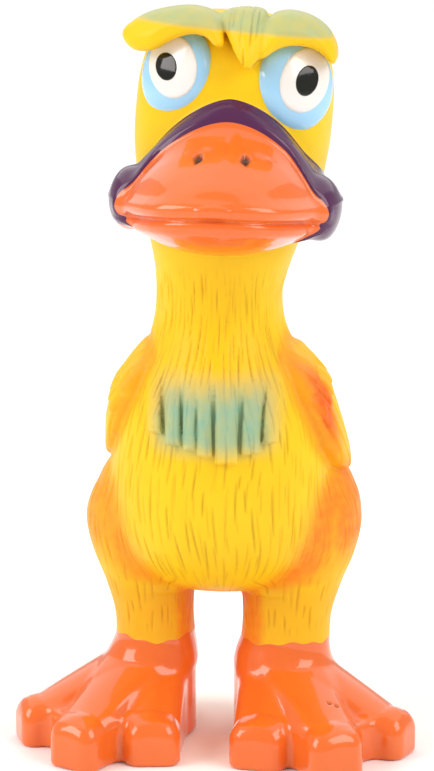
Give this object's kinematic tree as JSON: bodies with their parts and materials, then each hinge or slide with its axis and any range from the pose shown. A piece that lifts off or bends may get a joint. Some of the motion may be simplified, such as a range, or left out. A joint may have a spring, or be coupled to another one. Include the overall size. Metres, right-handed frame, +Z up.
{
  "type": "squeaky rubber bird",
  "caption": "Standing hollow latex toy bird with a broad bill, pop eyes, webbed feet and a squeaker in its back.",
  "frame": {"origin": "middle of the bird's footprint box, on the floor under the soles", "axes": "+Z up through the head, the bird faces -Y, its left side is at +X"},
  "size_m": [0.0986, 0.086, 0.178],
  "materials": {
    "yellow_latex": "satin painted latex",
    "orange_gloss": "gloss painted latex",
    "purple_gloss": "gloss painted latex",
    "teal_feather": "satin painted latex",
    "blue_gloss": "gloss painted latex",
    "white_gloss": "gloss painted latex",
    "black_gloss": "gloss painted latex",
    "white_plastic": "moulded",
    "reed_brass": "rolled strip"
  },
  "bodies": {
    "torso": {"torso_skin": "yellow_latex", "chest_tuft": "teal_feather", "left_wing": "yellow_latex", "right_wing": "yellow_latex", "left_hip": "yellow_latex", "right_hip": "yellow_latex", "left_knee_sleeve": "yellow_latex", "right_knee_sleeve": "yellow_latex", "neck_lower_sleeve": "yellow_latex", "tail_tuft": "yellow_latex", "squeaker_housing": "white_plastic", "squeaker_cap": "white_plastic", "reed_plate": "white_plastic"},
    "belly": {"belly_skin": "yellow_latex"},
    "neck": {"neck_collar": "yellow_latex", "neck_upper_sleeve": "yellow_latex"},
    "head": {"head_skin": "yellow_latex", "upper_bill": "orange_gloss", "lower_bill": "orange_gloss", "bill_trim": "purple_gloss", "left_eye": "blue_gloss", "right_eye": "blue_gloss", "left_eye_white": "white_gloss", "right_eye_white": "white_gloss", "left_pupil": "black_gloss", "right_pupil": "black_gloss", "left_brow": "yellow_latex", "right_brow": "yellow_latex", "forehead_tuft": "yellow_latex"},
    "left_leg": {"left_shank": "yellow_latex", "left_foot": "orange_gloss"},
    "right_leg": {"right_shank": "yellow_latex", "right_foot": "orange_gloss"},
    "reed": {"reed": "reed_brass"}
  },
  "joints": [
    {"name": "neck_bend", "type": "hinge", "parent": "torso", "child": "neck", "pos_m": [0, 0.0008, 0.1035], "axis": [1, 0, 0], "range_deg": [-16, 20], "stiffness_Nm_per_rad": 0.5, "deforming": ["neck_lower_sleeve"]},
    {"name": "head_tilt", "type": "hinge", "parent": "neck", "child": "head", "pos_m": [0.0002, 0.0008, 0.116], "axis": [0, 1, 0], "range_deg": [-12, 12], "stiffness_Nm_per_rad": 0.4, "deforming": ["neck_upper_sleeve"]},
    {"name": "left_leg_flex", "type": "hinge", "parent": "torso", "child": "left_leg", "pos_m": [0.017, 0.0032, 0.0338], "axis": [1, 0, 0], "range_deg": [-12, 12], "stiffness_Nm_per_rad": 2, "deforming": ["left_knee_sleeve"]},
    {"name": "right_leg_flex", "type": "hinge", "parent": "torso", "child": "right_leg", "pos_m": [-0.017, 0.0032, 0.0338], "axis": [1, 0, 0], "range_deg": [-12, 12], "stiffness_Nm_per_rad": 2, "deforming": ["right_knee_sleeve"]},
    {"name": "belly_press", "type": "slide", "parent": "torso", "child": "belly", "axis": [0, 1, 0], "range_m": [0, 0.008], "stiffness_N_per_m": 600},
    {"name": "reed_flutter", "type": "hinge", "parent": "torso", "child": "reed", "pos_m": [0, 0.0262, 0.053], "axis": [1, 0, 0], "range_deg": [-3, 3], "stiffness_Nm_per_rad": 0.0001}
  ]
}
